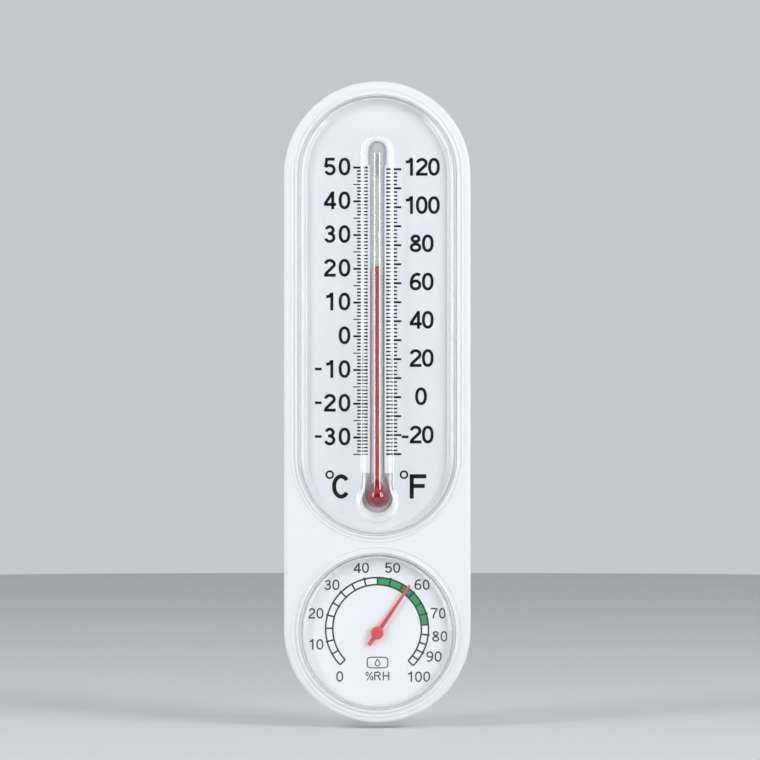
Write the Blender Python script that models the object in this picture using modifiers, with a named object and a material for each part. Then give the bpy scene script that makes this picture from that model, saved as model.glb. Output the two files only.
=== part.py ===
"""Wall thermometer and dial hygrometer in one long white case.

The object hangs on a wall: +Z is up, +X is to its right as one reads it, and
its front faces -Y. The wall is the plane Y = 0. The origin is the centre of
the keyhole's round upper end, where the shank of the wall screw rests.
"""
import math

import bmesh
import bpy

MM = 0.001
MERGE = 0.00001

# Case outline: a racetrack of two half circles joined by straight sides.
CASE_R = 32.5 * MM
CASE_LENGTH = 223.5 * MM
CASE_WALL = 2.0 * MM
CASE_EDGE_R = 1.2 * MM
ARC_Z = CASE_LENGTH / 2 - CASE_R
HANGER_ABOVE_CENTRE = 102.5 * MM

# Depths are measured out from the wall, towards the reader. Holes are cut from
# PAST beyond one face to PAST beyond the other.
COVER_THICK = 1.8 * MM
CASE_DEPTH = 12.5 * MM
SKIN = 1.6 * MM
GAP = 0.3 * MM
RUNNING_FIT = 0.05 * MM
PAST = 1.0 * MM
FLANGE_THICK = 1.0 * MM
PLATE_THICK = 1.0 * MM
FLANGE_BACK = CASE_DEPTH - SKIN - GAP - FLANGE_THICK
PLATE_FRONT = FLANGE_BACK - GAP
PLATE_BACK = PLATE_FRONT - PLATE_THICK

# Openings in the case front and the clear covers that stand in them.
OVAL_R = 27.7 * MM
OVAL_LOW_Z = -19.0 * MM
DIAL_R = 27.4 * MM
DIAL_Z = -80.0 * MM
FLANGE_REACH = 1.6 * MM
CLEAR_THICK = 1.2 * MM
SLOPE_START = CASE_DEPTH + 0.4 * MM
SCALE_FLAT_R = 24.9 * MM
SCALE_FLAT_DEPTH = 14.0 * MM
DIAL_FLAT_R = 25.3 * MM
DIAL_FLAT_DEPTH = 13.5 * MM
LIP_WIDTH = 0.9 * MM
LIP_HEIGHT = 0.6 * MM
LIP_ROUND = 0.35 * MM
RIDGE_R = 0.3 * MM
RIDGE_AT = 29.6 * MM

# Thermometer: a glass tube lying in a slot of the scale plate.
SCALE_PLATE_R = 29.6 * MM
TUBE_DEPTH = 10.3 * MM
TUBE_R = 2.0 * MM
TUBE_TOP_Z = 87.9 * MM
BULB_R = 3.6 * MM
BULB_Z = -33.0 * MM
BORE_R = 0.6 * MM
BULB_WALL = 0.6 * MM
ZERO_C_Z = 22.85 * MM
DEGREE = 1.176 * MM
READING_C = 20.6
SLOT_HALF = 2.5 * MM
TOP_POCKET_HALF = 3.25 * MM
TOP_POCKET_LOW_Z = 82.6 * MM
TOP_POCKET_Z = 87.8 * MM
BULB_POCKET_HALF = 5.45 * MM
BULB_POCKET_Z = -33.25 * MM
BULB_POCKET_HIGH_Z = -24.9 * MM
CHANNEL_R = 5.6 * MM
CHANNEL_TOP_Z = 86.9 * MM
CHANNEL_RISE = 1.8 * MM
BUMP_R = 7.3 * MM
BUMP_EXTRA = 0.1 * MM
BUMP_Z = -34.8 * MM
RISE_FOOT = 0.2 * MM
RISE_STEEP_SHARE = 0.35
RISE_SHOULDER = 0.6 * MM
RISE_SHOULDER_SHARE = 0.8
RISE_CREST_IN = 1.2 * MM
CARRIER_R = 6.6 * MM
CARRIER_LOW_Z = -33.4 * MM
CARRIER_HIGH_Z = 84.6 * MM
CARRIER_DEPTH = 3.3 * MM
NECK_ANGLE = 44
NECK_RISE = 1.8 * MM
POLE_ANGLE = -88
THREAD_ABOVE_NECK = 1.0 * MM
MENISCUS_LENGTH = 0.8 * MM
MENISCUS_RISE_SHARE = 0.3

# Hygrometer: pointer, shaft and coil turn about one axis behind the dial.
PIVOT_Z = DIAL_Z - 0.55 * MM
DIAL_PLATE_R = 28.6 * MM
SHAFT_R = 0.6 * MM
SHAFT_BACK = 2.7 * MM
SHAFT_FRONT = 11.0 * MM
POINTER_TILT = math.radians(34.3)
POINTER_REACH = 20.1 * MM
POINTER_TAIL = 5.2 * MM
HUB_R = 2.25 * MM
HUB_BACK = 10.0 * MM
HUB_FRONT = 11.7 * MM
HUB_ROUND = 0.7 * MM
ARM_THICK = 0.5 * MM
ARM_ROOT_HALF = 0.75 * MM
ARM_TIP_HALF = 0.4 * MM
COIL_BACK = 4.3 * MM
COIL_FRONT = 6.9 * MM
COIL_INNER_R = 2.05 * MM
COIL_OUTER_R = 9.0 * MM
COIL_STRIP = 0.25 * MM
COIL_TURNS = 4.5
COIL_STEPS = 24
COLLET_R = 1.6 * MM
ANCHOR_R = 0.7 * MM
ANCHOR_FOOT_R = 0.98 * MM
BUSH_R = 1.3 * MM
BUSH_PROUD = 0.4 * MM
BUSH_FLANGE_R = 2.6 * MM
BUSH_FLANGE = 0.7 * MM
REAR_BUSH_R = 1.1 * MM
REAR_FLANGE_R = 1.76 * MM
REAR_BUSH_PROUD = 0.2 * MM
STUD_X = 14.6 * MM
STUD_R = 1.8 * MM
STUD_BACK = 6.0 * MM
PILOT_IN_PLATE = 0.4 * MM
STRAP_DEPTH = 3.15 * MM
STRAP_THICK = 0.5 * MM
STRAP_HALF = 2.4 * MM
FOOT_HALF = 2.2 * MM
BEND_RUN = 1.0 * MM
FOOT_DEPTH = STUD_BACK - GAP - STRAP_THICK / 2
BRIDGE_SCREW_R = 0.7 * MM
BRIDGE_HEAD_R = 1.5 * MM
BRIDGE_HEAD_HEIGHT = 0.9 * MM

# Back cover and what it is fixed with.
COVER_R = CASE_R - CASE_WALL - GAP
RIM_THICK = 1.2 * MM
RIM_DEPTH = 3.8 * MM
SCREW_X = 24.0 * MM
SCREW_Z = -49.5 * MM
SCREW_R = 1.2 * MM
SCREW_HEAD_R = 2.6 * MM
SCREW_END = 8.8 * MM
COVER_BOSS_R = 4.6 * MM
COVER_BOSS_DEPTH = 3.4 * MM
CASE_BOSS_R = 3.4 * MM
POST_R = 1.8 * MM
POST_X = 19.0 * MM
POST_ROWS_Z = (60 * MM, 20 * MM, -20 * MM)
DIAL_POST_AT = 23.5 * MM
DIAL_POST_ANGLES = (90, 210, 330)
KEYHOLE_R = 4.5 * MM
KEYHOLE_SLOT_R = 2.2 * MM
KEYHOLE_DROP = 7.0 * MM
VENT_HALF = 1.1 * MM
VENT_SPACING = 5.0 * MM
VENT_REACH = 8.0 * MM

# Shares of a screw's head radius, head height and shank radius.
HEAD_FACE_SHARE = 0.8
HEAD_EDGE_SHARE = 0.4
POINT_SHARE = 0.5
CROSS_LENGTH_SHARE = 1.1
CROSS_WIDTH_SHARE = 0.22

# Facets around a full turn.
BIG_STEPS = 72
MID_STEPS = 32
TUBE_STEPS = 20
SMALL_STEPS = 16

WHITE_PLASTIC = ((0.84, 0.86, 0.88), 0.35, 0.0)
PLATE_WHITE = ((0.80, 0.83, 0.87), 0.5, 0.0)
DIAL_WHITE = ((0.88, 0.91, 0.95), 0.5, 0.0)
GREY_PLASTIC = ((0.38, 0.37, 0.40), 0.6, 0.0)
CLEAR_PLASTIC = ((0.9, 0.93, 0.95), 0.08, 0.0)
CLEAR_GLASS = ((0.88, 0.9, 0.88), 0.03, 0.0)
RED_SPIRIT = ((0.55, 0.02, 0.03), 0.15, 0.0)
RED_PAINT = ((0.78, 0.03, 0.03), 0.4, 0.0)
BRASS = ((0.72, 0.52, 0.22), 0.35, 1.0)
STEEL = ((0.56, 0.57, 0.58), 0.3, 1.0)
COIL_FILM = ((0.35, 0.22, 0.1), 0.45, 0.6)


def clear_scene():
    for obj in list(bpy.data.objects):
        bpy.data.objects.remove(obj, do_unlink=True)


def new_collection(name):
    collection = bpy.data.collections.new(name)
    bpy.context.scene.collection.children.link(collection)
    return collection


clear_scene()
PARTS = new_collection("dial_hygrometer")
CUTTERS = new_collection("cutters")


def new_empty(name, location, parent=None):
    empty = bpy.data.objects.new(name, None)
    empty.empty_display_size = 5 * MM
    empty.location = location
    empty.parent = parent
    PARTS.objects.link(empty)
    return empty


CENTRE = new_empty("case_centre", (0, 0, -HANGER_ABOVE_CENTRE))
DIAL_AXIS = new_empty("dial_axis", (0, 0, PIVOT_Z), CENTRE)
TUBE_AXIS = new_empty("tube_axis", (0, -TUBE_DEPTH, 0), CENTRE)


def new_material(name, look):
    colour, roughness, metallic = look
    material = bpy.data.materials.new(name)
    material.use_nodes = True
    shader = material.node_tree.nodes["Principled BSDF"]
    shader.inputs["Base Color"].default_value = (*colour, 1)
    shader.inputs["Roughness"].default_value = roughness
    shader.inputs["Metallic"].default_value = metallic
    return material


def add_part(name, mesh, look, parent=CENTRE):
    """Link a finished mesh as a named piece with its own material."""
    mesh.materials.append(new_material(name, look))
    mesh.shade_smooth()
    mesh.set_sharp_from_angle(angle=math.radians(30))
    part = bpy.data.objects.new(name, mesh)
    part.parent = parent
    PARTS.objects.link(part)
    return part


def add_cutter(name, mesh, parent=CENTRE):
    """Link a mesh that only shapes a piece."""
    cutter = bpy.data.objects.new(name, mesh)
    cutter.parent = parent
    cutter.hide_render = True
    cutter.display_type = "WIRE"
    CUTTERS.objects.link(cutter)
    return cutter


def boolean(part, tool, operation):
    modifier = part.modifiers.new(tool.name, "BOOLEAN")
    modifier.operation = operation
    modifier.solver = "EXACT"
    modifier.object = tool


def cut(part, tool):
    boolean(part, tool, "DIFFERENCE")


def join(part, tool):
    boolean(part, tool, "UNION")


def mesh_from(bm, name):
    mesh = bpy.data.meshes.new(name)
    bm.to_mesh(mesh)
    bm.free()
    return mesh


def arc(centre, radius, start, end, steps):
    """Points (radius, depth) along an arc, with the angles in degrees."""
    points = []
    for step in range(steps + 1):
        angle = math.radians(start + (end - start) * step / steps)
        points.append((centre[0] + radius * math.cos(angle), centre[1] + radius * math.sin(angle)))
    return points


def sweep(bm, section, low_z, high_z, steps=BIG_STEPS, x=0.0):
    """Carry a section of (radius, depth) points around two half circles.

    The centres of the half circles are at low_z and high_z, with straight runs
    between them. With low_z equal to high_z the path is a plain circle.
    """
    corners = [bm.verts.new((x + radius, -depth, high_z)) for radius, depth in section]
    front = [bm.edges.new(pair) for pair in zip(corners, corners[1:])]
    for centre_z, travel in ((high_z, low_z - high_z), (low_z, high_z - low_z)):
        ends = list({vert for edge in front for vert in edge.verts})
        turned = bmesh.ops.spin(
            bm, geom=ends + front, cent=(x, 0, centre_z), axis=(0, -1, 0),
            angle=math.pi, steps=steps // 2)
        front = [item for item in turned["geom_last"] if isinstance(item, bmesh.types.BMEdge)]
        if travel:
            moved = bmesh.ops.extrude_edge_only(bm, edges=front)["geom"]
            verts = [item for item in moved if isinstance(item, bmesh.types.BMVert)]
            bmesh.ops.translate(bm, verts=verts, vec=(0, 0, travel))
            ends = set(verts)
            linked = {edge for vert in verts for edge in vert.link_edges}
            front = [edge for edge in linked if ends.issuperset(edge.verts)]


def close_flat_ends(bm):
    """Fill each depth at which swept strips end, around any holes in it."""
    bmesh.ops.remove_doubles(bm, verts=bm.verts, dist=MERGE)
    rims = {}
    for edge in bm.edges:
        if edge.is_boundary:
            rims.setdefault(round(edge.verts[0].co.y / MERGE), []).append(edge)
    for edges in rims.values():
        bmesh.ops.triangle_fill(bm, edges=edges, use_beauty=True)
    bmesh.ops.recalc_face_normals(bm, faces=bm.faces)


def racetrack(name, section, low_z, high_z, steps=BIG_STEPS, x=0.0):
    """A solid with one swept section, closed at its first and last depths."""
    bm = bmesh.new()
    sweep(bm, section, low_z, high_z, steps=steps, x=x)
    close_flat_ends(bm)
    return mesh_from(bm, name)


def post(name, radius, back, front, x, z, steps=SMALL_STEPS):
    """A straight round post or hole along the depth axis."""
    return racetrack(name, [(radius, back), (radius, front)], z, z, steps=steps, x=x)


def block(name, size, centre):
    bm = bmesh.new()
    bmesh.ops.create_cube(bm, size=1)
    bmesh.ops.scale(bm, vec=size, verts=bm.verts)
    bmesh.ops.translate(bm, vec=centre, verts=bm.verts)
    return mesh_from(bm, name)


def profile_mesh(name, points, closed=False):
    """A profile of (radius, height) points in the XZ plane, for a Screw."""
    bm = bmesh.new()
    verts = [bm.verts.new((radius, 0, height)) for radius, height in points]
    pairs = list(zip(verts, verts[1:]))
    if closed:
        pairs.append((verts[-1], verts[0]))
    for pair in pairs:
        bm.edges.new(pair)
    return mesh_from(bm, name)


def turn(part, steps):
    """Turn a profile a full circle about the object's own Z axis."""
    screw = part.modifiers.new("turn", "SCREW")
    screw.steps = steps
    screw.render_steps = steps
    screw.use_merge_vertices = True
    screw.merge_threshold = MERGE
    screw.use_smooth_shade = True


def turned_part(name, points, look, parent, steps, closed=False):
    part = add_part(name, profile_mesh(name, points, closed), look, parent)
    turn(part, steps)
    return part


def face_reader(part):
    """Point a turned piece's own Z axis out of the wall, towards the reader."""
    part.rotation_euler = (math.pi / 2, 0, 0)


def front_case():
    """One moulding: side wall, skin with two framed openings, two screw bosses."""
    bm = bmesh.new()
    inner_r = CASE_R - CASE_WALL
    skin_back = CASE_DEPTH - SKIN
    edge = arc((CASE_R - CASE_EDGE_R, CASE_DEPTH - CASE_EDGE_R), CASE_EDGE_R, 0, 90, 4)
    sweep(bm, [(inner_r, skin_back), (inner_r, 0), (CASE_R, 0)] + edge, -ARC_Z, ARC_Z)
    lip_top = CASE_DEPTH + LIP_HEIGHT
    for opening_r, low, high in ((OVAL_R, OVAL_LOW_Z, ARC_Z), (DIAL_R, DIAL_Z, DIAL_Z)):
        lip_r = opening_r + LIP_WIDTH
        lip = arc((lip_r - LIP_ROUND, lip_top - LIP_ROUND), LIP_ROUND, 0, 90, 2)
        ridge = arc((RIDGE_AT, CASE_DEPTH), RIDGE_R, 0, 180, 4)
        frame = ridge + [(lip_r, CASE_DEPTH)] + lip + [(opening_r, lip_top), (opening_r, skin_back)]
        sweep(bm, frame, low, high)
    pilot_r = SCREW_R + RUNNING_FIT
    boss_back = COVER_BOSS_DEPTH + GAP
    boss = [(CASE_BOSS_R, skin_back), (CASE_BOSS_R, boss_back), (pilot_r, boss_back),
            (pilot_r, skin_back - SKIN)]
    for side in (-1, 1):
        sweep(bm, boss, SCREW_Z, SCREW_Z, steps=SMALL_STEPS, x=side * SCREW_X)
    close_flat_ends(bm)
    add_part("front_case", mesh_from(bm, "front_case"), WHITE_PLASTIC)


def back_cover():
    section = [(COVER_R - GAP, 0), (COVER_R, GAP), (COVER_R, RIM_DEPTH),
               (COVER_R - RIM_THICK, RIM_DEPTH), (COVER_R - RIM_THICK, COVER_THICK)]
    cover = add_part("back_cover", racetrack("back_cover", section, -ARC_Z, ARC_Z), WHITE_PLASTIC)
    root = COVER_THICK - GAP
    past = COVER_BOSS_DEPTH + GAP
    posts = [(side * POST_X, z) for side in (-1, 1) for z in POST_ROWS_Z]
    for angle in DIAL_POST_ANGLES:
        turn_angle = math.radians(angle)
        posts.append((DIAL_POST_AT * math.cos(turn_angle), DIAL_Z + DIAL_POST_AT * math.sin(turn_angle)))
    for x, z in posts:
        mesh = post("cover_post", POST_R, root, PLATE_BACK - GAP, x, z)
        join(cover, add_cutter("cover_post", mesh))
    for side in (-1, 1):
        boss = post("cover_boss", COVER_BOSS_R, root, COVER_BOSS_DEPTH, side * SCREW_X, SCREW_Z)
        recess = post("cover_recess", SCREW_HEAD_R + GAP, -GAP, COVER_THICK, side * SCREW_X, SCREW_Z)
        hole = post("cover_hole", SCREW_R + GAP, -GAP, past, side * SCREW_X, SCREW_Z)
        join(cover, add_cutter("cover_boss", boss))
        cut(cover, add_cutter("cover_recess", recess))
        cut(cover, add_cutter("cover_hole", hole))
    entry_z = HANGER_ABOVE_CENTRE - KEYHOLE_DROP
    entry = post("keyhole_entry", KEYHOLE_R, -GAP, past, 0, entry_z, MID_STEPS)
    slot_section = [(KEYHOLE_SLOT_R, -GAP), (KEYHOLE_SLOT_R, past)]
    slot = racetrack("keyhole_slot", slot_section, entry_z, HANGER_ABOVE_CENTRE, steps=MID_STEPS)
    cut(cover, add_cutter("keyhole_entry", entry))
    cut(cover, add_cutter("keyhole_slot", slot))
    vent_section = [(VENT_HALF, -GAP), (VENT_HALF, past)]
    for index in range(-2, 3):
        vent = racetrack("vent", vent_section, PIVOT_Z - VENT_REACH, PIVOT_Z + VENT_REACH,
                         steps=SMALL_STEPS, x=index * VENT_SPACING)
        cut(cover, add_cutter("vent", vent))


def cross_head_screw(name, x, z, parent, head_r, head, shank_r, shank_front, look):
    """A screw whose head faces the wall; head is its (back, front) depths."""
    back, front = head
    shank = shank_front - front
    height = front - back
    points = [(0, shank), (shank_r * POINT_SHARE, shank), (shank_r, shank - shank_r), (shank_r, 0)]
    points += [(head_r, 0), (head_r, -HEAD_EDGE_SHARE * height), (head_r * HEAD_FACE_SHARE, -height)]
    points.append((0, -height))
    screw = turned_part(name, points, look, parent, SMALL_STEPS)
    screw.location = (x, -front, z)
    face_reader(screw)
    reach = head_r * CROSS_LENGTH_SHARE
    width = head_r * CROSS_WIDTH_SHARE
    for label, size in (("across", (reach, height, width)), ("upright", (width, height, reach))):
        slot_name = name + "_" + label
        slot = add_cutter(slot_name, block(slot_name, size, (x, -back, z)), parent)
        cut(screw, slot)


def cover_screws():
    head = (GAP, COVER_THICK - GAP)
    for side, label in ((-1, "left"), (1, "right")):
        cross_head_screw("cover_screw_" + label, side * SCREW_X, SCREW_Z, CENTRE,
                         SCREW_HEAD_R, head, SCREW_R, SCREW_END, STEEL)


def scale_plate():
    section = [(SCALE_PLATE_R, PLATE_BACK), (SCALE_PLATE_R, PLATE_FRONT)]
    plate = add_part("scale_plate", racetrack("scale_plate", section, OVAL_LOW_Z, ARC_Z), PLATE_WHITE)
    back = PLATE_BACK - PLATE_THICK
    front = PLATE_FRONT + PLATE_THICK
    for label, half, low, high in (
            ("tube_slot", SLOT_HALF, BULB_POCKET_Z, TOP_POCKET_Z),
            ("top_pocket", TOP_POCKET_HALF, TOP_POCKET_Z, TOP_POCKET_Z),
            ("bulb_pocket", BULB_POCKET_HALF, BULB_POCKET_Z, BULB_POCKET_Z)):
        mesh = racetrack(label, [(half, back), (half, front)], low, high, steps=MID_STEPS)
        cut(plate, add_cutter(label, mesh))
    deep = front - back
    middle = -(front + back) / 2
    for label, half, low, high in (
            ("top_shoulder", TOP_POCKET_HALF, TOP_POCKET_LOW_Z, TOP_POCKET_Z),
            ("bulb_shoulder", BULB_POCKET_HALF, BULB_POCKET_Z, BULB_POCKET_HIGH_Z)):
        mesh = block(label, (2 * half, deep, high - low), (0, middle, (low + high) / 2))
        cut(plate, add_cutter(label, mesh))


def cover_section(opening_r, flat_r, flat_depth):
    """Section of a clear cover, from its flat's back around to its flat's front."""
    wall_r = opening_r - GAP
    flange_r = opening_r + FLANGE_REACH
    inner_wall = wall_r - CLEAR_THICK
    inner_flat = flat_r - 0.5 * CLEAR_THICK
    flange_front = FLANGE_BACK + FLANGE_THICK
    return [(inner_flat, flat_depth - CLEAR_THICK), (inner_wall, SLOPE_START - CLEAR_THICK),
            (inner_wall, FLANGE_BACK), (flange_r, FLANGE_BACK), (flange_r, flange_front),
            (wall_r, flange_front), (wall_r, SLOPE_START), (flat_r, flat_depth)]


def domed_section(radius, back, front):
    """A straight-sided rise with a steep flank and a rounded shoulder."""
    rise = front - back
    return [(radius + RISE_FOOT, back), (radius, back + RISE_STEEP_SHARE * rise),
            (radius - RISE_SHOULDER, back + RISE_SHOULDER_SHARE * rise),
            (radius - RISE_CREST_IN, front)]


def scale_window():
    section = cover_section(OVAL_R, SCALE_FLAT_R, SCALE_FLAT_DEPTH)
    window = add_part("scale_window", racetrack("scale_window", section, OVAL_LOW_Z, ARC_Z), CLEAR_PLASTIC)
    top = SCALE_FLAT_DEPTH + CHANNEL_RISE
    rises = (("channel", CHANNEL_R, CARRIER_LOW_Z, CHANNEL_TOP_Z, top),
             ("bump", BUMP_R, BUMP_Z, BUMP_Z, top + BUMP_EXTRA))
    for label, radius, low, high, crest in rises:
        outer = domed_section(radius, SCALE_FLAT_DEPTH - 2 * GAP, crest)
        mesh = racetrack(label + "_outer", outer, low, high, steps=MID_STEPS)
        join(window, add_cutter(label + "_outer", mesh))
    for label, radius, low, high, crest in rises:
        inside = SCALE_FLAT_DEPTH - CLEAR_THICK - 2 * GAP
        inner = domed_section(radius - CLEAR_THICK, inside, crest - CLEAR_THICK)
        mesh = racetrack(label + "_inner", inner, low, high, steps=MID_STEPS)
        cut(window, add_cutter(label + "_inner", mesh))


def tube_carrier():
    front = PLATE_BACK - GAP
    section = [(CARRIER_R, front - CARRIER_DEPTH), (CARRIER_R, front)]
    mesh = racetrack("tube_carrier", section, CARRIER_LOW_Z, CARRIER_HIGH_Z, steps=MID_STEPS)
    carrier = add_part("tube_carrier", mesh, GREY_PLASTIC)
    floor = TUBE_DEPTH - BULB_R - GAP
    dish = [(BULB_R + 2 * GAP, floor), (BULB_R + 2 * GAP, front + GAP)]
    dish_mesh = racetrack("bulb_dish", dish, BULB_Z, BULB_Z + BULB_R, steps=MID_STEPS)
    cut(carrier, add_cutter("bulb_dish", dish_mesh))


def neck_height():
    """Where the glass stem runs straight, above the bulb."""
    return BULB_Z + BULB_R * math.sin(math.radians(NECK_ANGLE)) + NECK_RISE


def glass_tube():
    """Stem and bulb in one piece, with the bore running out at the upper end."""
    shoulder_r = TUBE_R - BORE_R
    points = arc((BORE_R, TUBE_TOP_Z - shoulder_r), shoulder_r, 90, 0, 3)
    points.append((TUBE_R, neck_height()))
    points += arc((0, BULB_Z), BULB_R, NECK_ANGLE, POLE_ANGLE, 9)
    points.append((0, BULB_Z - BULB_R))
    inner_r = BULB_R - BULB_WALL
    bore = [(0, BULB_Z - inner_r)] + arc((0, BULB_Z), inner_r, POLE_ANGLE, NECK_ANGLE, 8)
    bore.append((BORE_R, neck_height()))
    bm = bmesh.new()
    verts = [bm.verts.new((radius, 0, height)) for radius, height in points + bore]
    for index, vert in enumerate(verts):
        if index != len(points) - 1:
            bm.edges.new((vert, verts[(index + 1) % len(verts)]))
    tube = add_part("glass_tube", mesh_from(bm, "glass_tube"), CLEAR_GLASS, TUBE_AXIS)
    turn(tube, TUBE_STEPS)


def spirit():
    """Red spirit: what fills the bulb, the thread in the bore and its top end."""
    fill_r = BULB_R - BULB_WALL - RUNNING_FIT
    thread_r = BORE_R - RUNNING_FIT
    thread_low = neck_height() + THREAD_ABOVE_NECK
    reading_z = ZERO_C_Z + READING_C * DEGREE
    fill = [(0, thread_low - RUNNING_FIT), (thread_r, thread_low - RUNNING_FIT),
            (thread_r, neck_height())]
    fill += arc((0, BULB_Z), fill_r, NECK_ANGLE, POLE_ANGLE, 8) + [(0, BULB_Z - fill_r)]
    turned_part("spirit_bulb_fill", fill, RED_SPIRIT, TUBE_AXIS, TUBE_STEPS)
    thread_high = reading_z - MENISCUS_LENGTH - RUNNING_FIT
    thread = [(0, thread_high), (thread_r, thread_high), (thread_r, thread_low), (0, thread_low)]
    turned_part("spirit_thread", thread, RED_SPIRIT, TUBE_AXIS, TUBE_STEPS)
    rim = MENISCUS_RISE_SHARE * thread_r
    meniscus = [(0, 0), (thread_r, rim), (thread_r, -MENISCUS_LENGTH), (0, -MENISCUS_LENGTH)]
    top = turned_part("spirit_meniscus", meniscus, RED_SPIRIT, TUBE_AXIS, TUBE_STEPS)
    top.location = (0, 0, reading_z)


def dial_lens():
    section = cover_section(DIAL_R, DIAL_FLAT_R, DIAL_FLAT_DEPTH)
    add_part("dial_lens", racetrack("dial_lens", section, DIAL_Z, DIAL_Z), CLEAR_PLASTIC)


def dial_plate():
    section = [(DIAL_PLATE_R, PLATE_BACK), (DIAL_PLATE_R, PLATE_FRONT)]
    plate = add_part("dial_plate", racetrack("dial_plate", section, DIAL_Z, DIAL_Z), DIAL_WHITE)
    for side in (-1, 1):
        stud = post("dial_stud", STUD_R, STUD_BACK, PLATE_BACK + GAP, side * STUD_X, PIVOT_Z)
        pilot = post("dial_pilot", BRIDGE_SCREW_R + RUNNING_FIT, STUD_BACK - PAST,
                     PLATE_BACK + PILOT_IN_PLATE, side * STUD_X, PIVOT_Z)
        join(plate, add_cutter("dial_stud", stud))
        cut(plate, add_cutter("dial_pilot", pilot))
    hole = post("bush_hole", BUSH_R + GAP, PLATE_BACK - PAST, PLATE_FRONT + PAST, 0, PIVOT_Z)
    cut(plate, add_cutter("bush_hole", hole))


def movement_bridge():
    """A strap bent back around the coil, with a foot on each stud."""
    foot_end = STUD_X + FOOT_HALF
    bend = STUD_X - FOOT_HALF
    corner = bend - BEND_RUN
    bm = bmesh.new()
    path = [(-foot_end, FOOT_DEPTH), (-bend, FOOT_DEPTH), (-corner, STRAP_DEPTH),
            (corner, STRAP_DEPTH), (bend, FOOT_DEPTH), (foot_end, FOOT_DEPTH)]
    verts = [bm.verts.new((x, -depth, -STRAP_HALF)) for x, depth in path]
    edges = [bm.edges.new(pair) for pair in zip(verts, verts[1:])]
    risen = bmesh.ops.extrude_edge_only(bm, edges=edges)["geom"]
    upper = [item for item in risen if isinstance(item, bmesh.types.BMVert)]
    bmesh.ops.translate(bm, verts=upper, vec=(0, 0, 2 * STRAP_HALF))
    bridge = add_part("movement_bridge", mesh_from(bm, "movement_bridge"), BRASS, DIAL_AXIS)
    sheet = bridge.modifiers.new("sheet", "SOLIDIFY")
    sheet.thickness = STRAP_THICK
    sheet.offset = 0
    sheet.use_even_offset = True
    for side in (-1, 1):
        mesh = post("foot_hole", BRIDGE_SCREW_R + GAP, FOOT_DEPTH - PAST, FOOT_DEPTH + PAST,
                    side * STUD_X, 0)
        cut(bridge, add_cutter("foot_hole", mesh, DIAL_AXIS))
    mesh = post("rear_hole", REAR_BUSH_R + GAP, STRAP_DEPTH - PAST, STRAP_DEPTH + PAST, 0, 0)
    cut(bridge, add_cutter("rear_hole", mesh, DIAL_AXIS))


def bridge_screws():
    head_front = FOOT_DEPTH - STRAP_THICK / 2 - GAP
    head = (head_front - BRIDGE_HEAD_HEIGHT, head_front)
    for side, label in ((-1, "left"), (1, "right")):
        cross_head_screw("bridge_screw_" + label, side * STUD_X, 0, DIAL_AXIS,
                         BRIDGE_HEAD_R, head, BRIDGE_SCREW_R, PLATE_BACK, STEEL)


def bushes_and_collet():
    bore_r = SHAFT_R + RUNNING_FIT
    front = PLATE_FRONT + BUSH_PROUD
    flange_front = PLATE_BACK - GAP
    flange_back = flange_front - BUSH_FLANGE
    front_bush = [(bore_r, front), (BUSH_R, front), (BUSH_R, flange_front), (BUSH_FLANGE_R, flange_front),
                  (BUSH_FLANGE_R, flange_back), (bore_r, flange_back)]
    seat = STRAP_DEPTH + STRAP_THICK / 2 + GAP
    rear_end = SHAFT_BACK - REAR_BUSH_PROUD
    rear_bush = [(bore_r, seat + GAP), (REAR_FLANGE_R, seat + GAP), (REAR_FLANGE_R, seat),
                 (REAR_BUSH_R, seat), (REAR_BUSH_R, rear_end), (bore_r, rear_end)]
    collet = [(bore_r, COIL_FRONT), (COLLET_R, COIL_FRONT), (COLLET_R, COIL_BACK), (bore_r, COIL_BACK)]
    for name, points in (("front_bush", front_bush), ("rear_bush", rear_bush), ("coil_collet", collet)):
        face_reader(turned_part(name, points, BRASS, DIAL_AXIS, SMALL_STEPS, closed=True))


def coil_radius(share):
    return COIL_INNER_R + (COIL_OUTER_R - COIL_INNER_R) * share


def humidity_coil():
    """A flat spiral strip from beside the collet out to the anchor post."""
    bm = bmesh.new()
    steps = round(COIL_TURNS * COIL_STEPS)
    verts = []
    for step in range(steps + 1):
        angle = 2 * math.pi * COIL_TURNS * step / steps
        radius = coil_radius(step / steps)
        verts.append(bm.verts.new((radius * math.cos(angle), -COIL_BACK, radius * math.sin(angle))))
    edges = [bm.edges.new(pair) for pair in zip(verts, verts[1:])]
    risen = bmesh.ops.extrude_edge_only(bm, edges=edges)["geom"]
    upper = [item for item in risen if isinstance(item, bmesh.types.BMVert)]
    bmesh.ops.translate(bm, verts=upper, vec=(0, COIL_BACK - COIL_FRONT, 0))
    coil = add_part("humidity_coil", mesh_from(bm, "humidity_coil"), COIL_FILM, DIAL_AXIS)
    strip = coil.modifiers.new("strip", "SOLIDIFY")
    strip.thickness = COIL_STRIP
    strip.offset = 0


def coil_anchor():
    """A brass post beside the coil's outer end, standing on the strap."""
    foot = STRAP_DEPTH + STRAP_THICK / 2 + GAP
    anchor = [(0, COIL_FRONT), (ANCHOR_R, COIL_FRONT), (ANCHOR_R, COIL_BACK), (ANCHOR_FOOT_R, COIL_BACK),
              (ANCHOR_FOOT_R, foot), (0, foot)]
    piece = turned_part("coil_anchor", anchor, BRASS, DIAL_AXIS, SMALL_STEPS)
    piece.location = (-(COIL_OUTER_R + COIL_STRIP / 2 + GAP + ANCHOR_R), 0, 0)
    face_reader(piece)


def pointer_shaft():
    shaft = [(0, SHAFT_FRONT), (SHAFT_R, SHAFT_FRONT), (SHAFT_R, SHAFT_BACK), (0, SHAFT_BACK)]
    face_reader(turned_part("pointer_shaft", shaft, STEEL, DIAL_AXIS, SMALL_STEPS))


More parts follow.
